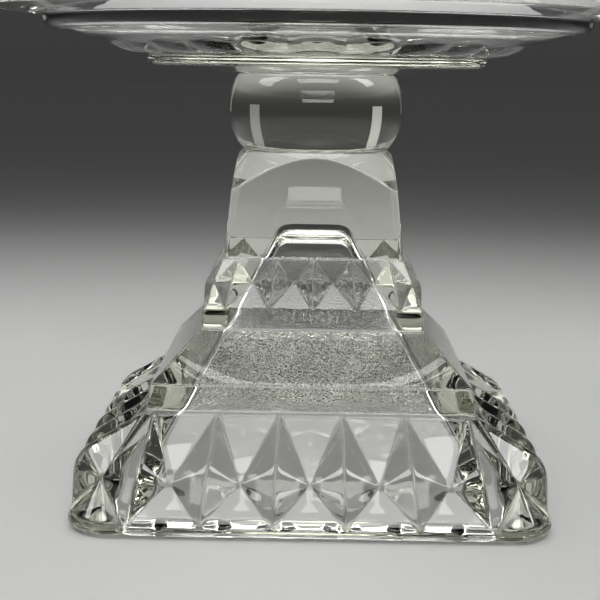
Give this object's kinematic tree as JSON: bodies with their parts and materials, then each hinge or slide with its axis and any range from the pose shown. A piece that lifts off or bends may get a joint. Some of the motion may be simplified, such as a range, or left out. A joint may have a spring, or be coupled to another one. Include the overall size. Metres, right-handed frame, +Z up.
{
  "type": "pedestal candy dish",
  "caption": "Clear pressed-glass candy dish: a round bowl with a stepped underside on a ball knop and a hollow square pedestal with lozenge bands.",
  "frame": {"origin": "middle of the square that the foot stands on", "axes": "+Z up along the axis of the stem and bowl, X and Y square to the sides of the foot"},
  "size_m": [0.175, 0.175, 0.142],
  "materials": {
    "clear_glass": "fire-polished pressed glass, stippled inside the hollow of the pedestal",
    "knop_glass": "fire-polished glass with a faint straw tint"
  },
  "bodies": {
    "root": {"pedestal": "clear_glass", "knop": "knop_glass", "bowl": "clear_glass"}
  },
  "joints": []
}
